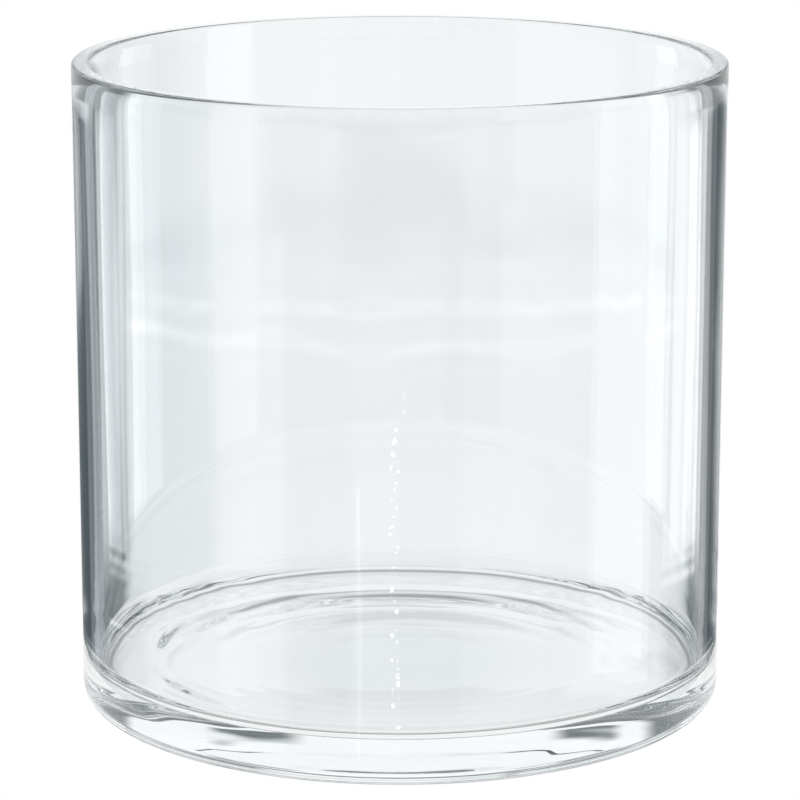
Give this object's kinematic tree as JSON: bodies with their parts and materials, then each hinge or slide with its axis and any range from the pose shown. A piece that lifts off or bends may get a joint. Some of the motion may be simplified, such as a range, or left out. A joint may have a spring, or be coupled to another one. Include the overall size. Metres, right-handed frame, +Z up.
{
  "type": "cylinder vase",
  "caption": "Straight-sided cylinder vase in clear glass, open at the top, with a thick solid bottom and a shallow hollow under the foot.",
  "frame": {"origin": "on the axis of the cylinder, at the level of the surface the vase stands on", "axes": "+Z up along the axis, out of the mouth; the vase is round, so +X and +Y are any two directions square to it"},
  "size_m": [0.2, 0.2, 0.2],
  "materials": {
    "clear_glass": "clear colourless glass with a faint grey-green tint, fire-polished inside and out, slightly wavy inside as blown glass is"
  },
  "bodies": {
    "root": {"glass_vase": "clear_glass"}
  },
  "joints": []
}
